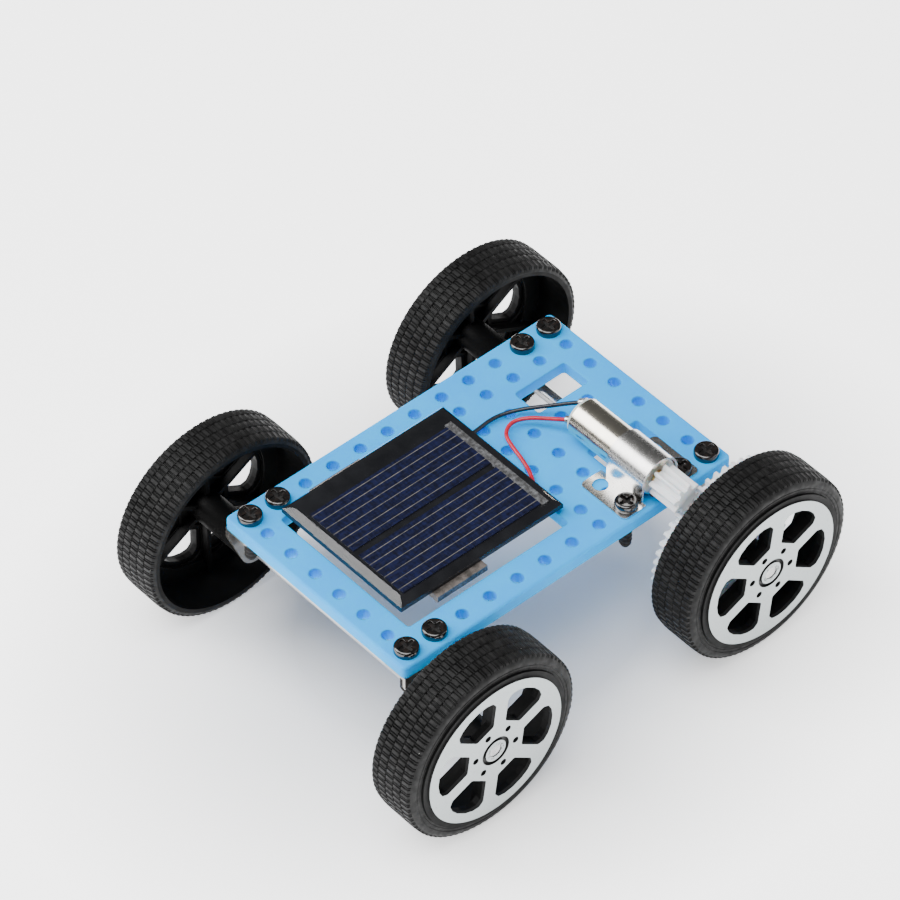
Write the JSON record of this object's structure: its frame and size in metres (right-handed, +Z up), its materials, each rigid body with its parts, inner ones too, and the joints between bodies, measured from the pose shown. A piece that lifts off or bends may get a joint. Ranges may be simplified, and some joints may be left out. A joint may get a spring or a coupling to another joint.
{
  "type": "solar mini car",
  "caption": "Palm-size wheeled car with a perforated blue deck, a small solar panel, and a micro motor that drives the rear axle through a pinion and a large spur gear.",
  "frame": {"origin": "on the ground, under the middle of the car's bounding box", "axes": "+X forwards, towards the end that carries the panel; +Y to the car's left; +Z up"},
  "size_m": [0.08, 0.0648, 0.0308],
  "materials": {
    "blue_plastic": "satin",
    "nickel_sheet": "polished",
    "black_steel": "gloss",
    "tyre_rubber": "matte",
    "black_plastic": "satin",
    "silver_face": "satin",
    "steel_rod": "satin",
    "white_nylon": "satin",
    "white_plastic": "satin",
    "bush_brass": "satin",
    "magnet_iron": "matte",
    "core_iron": "satin",
    "winding_copper": "satin",
    "brush_metal": "satin",
    "solder": "satin",
    "clear_tape": "gloss",
    "panel_black": "satin",
    "solar_silicon": "gloss",
    "clear_resin": "gloss",
    "wire_black": "satin",
    "wire_red": "satin"
  },
  "bodies": {
    "chassis": {"chassis_plate": "blue_plastic", "axle_bracket_front_left": "nickel_sheet", "axle_bracket_front_right": "nickel_sheet", "axle_bracket_rear_left": "nickel_sheet", "axle_bracket_rear_right": "nickel_sheet", "front_left_screws": "black_steel", "front_right_screws": "black_steel", "rear_right_screws": "black_steel", "rear_left_screw": "black_steel", "motor_bracket_screws": "black_steel", "motor_can": "nickel_sheet", "motor_end_cap": "white_plastic", "motor_front_bush": "bush_brass", "motor_rear_bush": "bush_brass", "motor_magnets": "magnet_iron", "motor_brushes": "brush_metal", "motor_terminals": "brush_metal", "motor_solder_joints": "solder", "motor_tape": "clear_tape", "motor_bracket": "nickel_sheet", "panel_board": "panel_black", "solar_cells": "solar_silicon", "panel_busbar": "solder", "panel_resin": "clear_resin", "panel_tape_cross": "clear_tape", "panel_tape_rear": "clear_tape", "panel_solder_joints": "solder", "wire_black": "wire_black", "wire_red": "wire_red"},
    "front_wheels": {"front_axle": "steel_rod", "tyre_front_left": "tyre_rubber", "tyre_front_right": "tyre_rubber", "rim_front_left": "black_plastic", "rim_front_right": "black_plastic", "hub_cap_front_left": "silver_face", "hub_cap_front_right": "silver_face"},
    "rear_wheels": {"rear_axle": "steel_rod", "drive_gear": "white_nylon", "tyre_rear_left": "tyre_rubber", "tyre_rear_right": "tyre_rubber", "rim_rear_left": "black_plastic", "rim_rear_right": "black_plastic", "hub_cap_rear_left": "silver_face", "hub_cap_rear_right": "silver_face"},
    "motor_rotor": {"motor_shaft": "steel_rod", "pinion": "white_nylon", "armature_core": "core_iron", "armature_windings": "winding_copper", "commutator_segments": "winding_copper", "commutator_hub": "black_plastic"}
  },
  "joints": [
    {"name": "front_axle_spin", "type": "hinge", "parent": "chassis", "child": "front_wheels", "pos_m": [0.025, 0, 0.015], "axis": [0, 1, 0], "continuous": true},
    {"name": "rear_axle_spin", "type": "hinge", "parent": "chassis", "child": "rear_wheels", "pos_m": [-0.025, 0, 0.015], "axis": [0, 1, 0], "continuous": true},
    {"name": "pinion_spin", "type": "hinge", "parent": "chassis", "child": "motor_rotor", "pos_m": [-0.0175, 0.02, 0.0275], "axis": [0, 1, 0], "continuous": true}
  ],
  "couplings": [
    {"joint": "pinion_spin", "follows": "rear_axle_spin", "ratio": -6.25}
  ]
}
